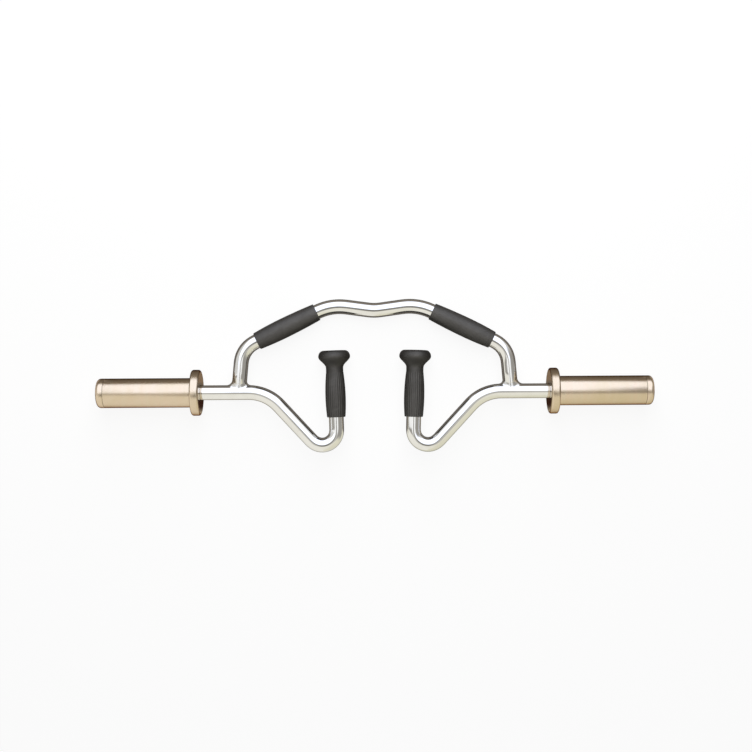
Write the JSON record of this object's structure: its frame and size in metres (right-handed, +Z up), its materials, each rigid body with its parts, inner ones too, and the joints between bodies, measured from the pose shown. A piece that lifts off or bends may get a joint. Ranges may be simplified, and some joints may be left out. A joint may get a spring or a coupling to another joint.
{
  "type": "triceps bar",
  "caption": "Short multi-grip barbell for triceps work: a bent chromed bar frame with rubber grips and a rotating plate sleeve at each end.",
  "frame": {"origin": "on the floor, under the middle of the bar's bounding box", "axes": "+X along the sleeves, +Y across the bar towards the arch, +Z up from the floor"},
  "size_m": [0.94, 0.2554, 0.078],
  "materials": {
    "chrome": "polished chrome plate on solid steel bar",
    "satin_nickel": "satin, warm nickel-plated turned steel",
    "rubber": "matt black moulded rubber, ribbed on the handles",
    "bronze": "plain turned bearing bronze",
    "spring_steel": "phosphated spring steel"
  },
  "bodies": {
    "frame": {"arch_bar": "chrome", "left_lower_bar": "chrome", "left_arch_grip": "rubber", "left_handle_grip": "rubber", "left_inner_thrust_washer": "bronze", "left_outer_thrust_washer": "bronze", "left_retaining_ring": "spring_steel", "right_lower_bar": "chrome", "right_arch_grip": "rubber", "right_handle_grip": "rubber", "right_inner_thrust_washer": "bronze", "right_outer_thrust_washer": "bronze", "right_retaining_ring": "spring_steel"},
    "left_sleeve_unit": {"left_collar": "satin_nickel", "left_sleeve_tube": "satin_nickel", "left_end_cap": "satin_nickel", "left_inner_bush": "bronze", "left_outer_bush": "bronze"},
    "right_sleeve_unit": {"right_collar": "satin_nickel", "right_sleeve_tube": "satin_nickel", "right_end_cap": "satin_nickel", "right_inner_bush": "bronze", "right_outer_bush": "bronze"}
  },
  "joints": [
    {"name": "left_sleeve_spin", "type": "hinge", "parent": "frame", "child": "left_sleeve_unit", "pos_m": [-0.295, -0.0269, 0.039], "axis": [1, 0, 0], "continuous": true},
    {"name": "right_sleeve_spin", "type": "hinge", "parent": "frame", "child": "right_sleeve_unit", "pos_m": [0.295, -0.0269, 0.039], "axis": [1, 0, 0], "continuous": true}
  ]
}
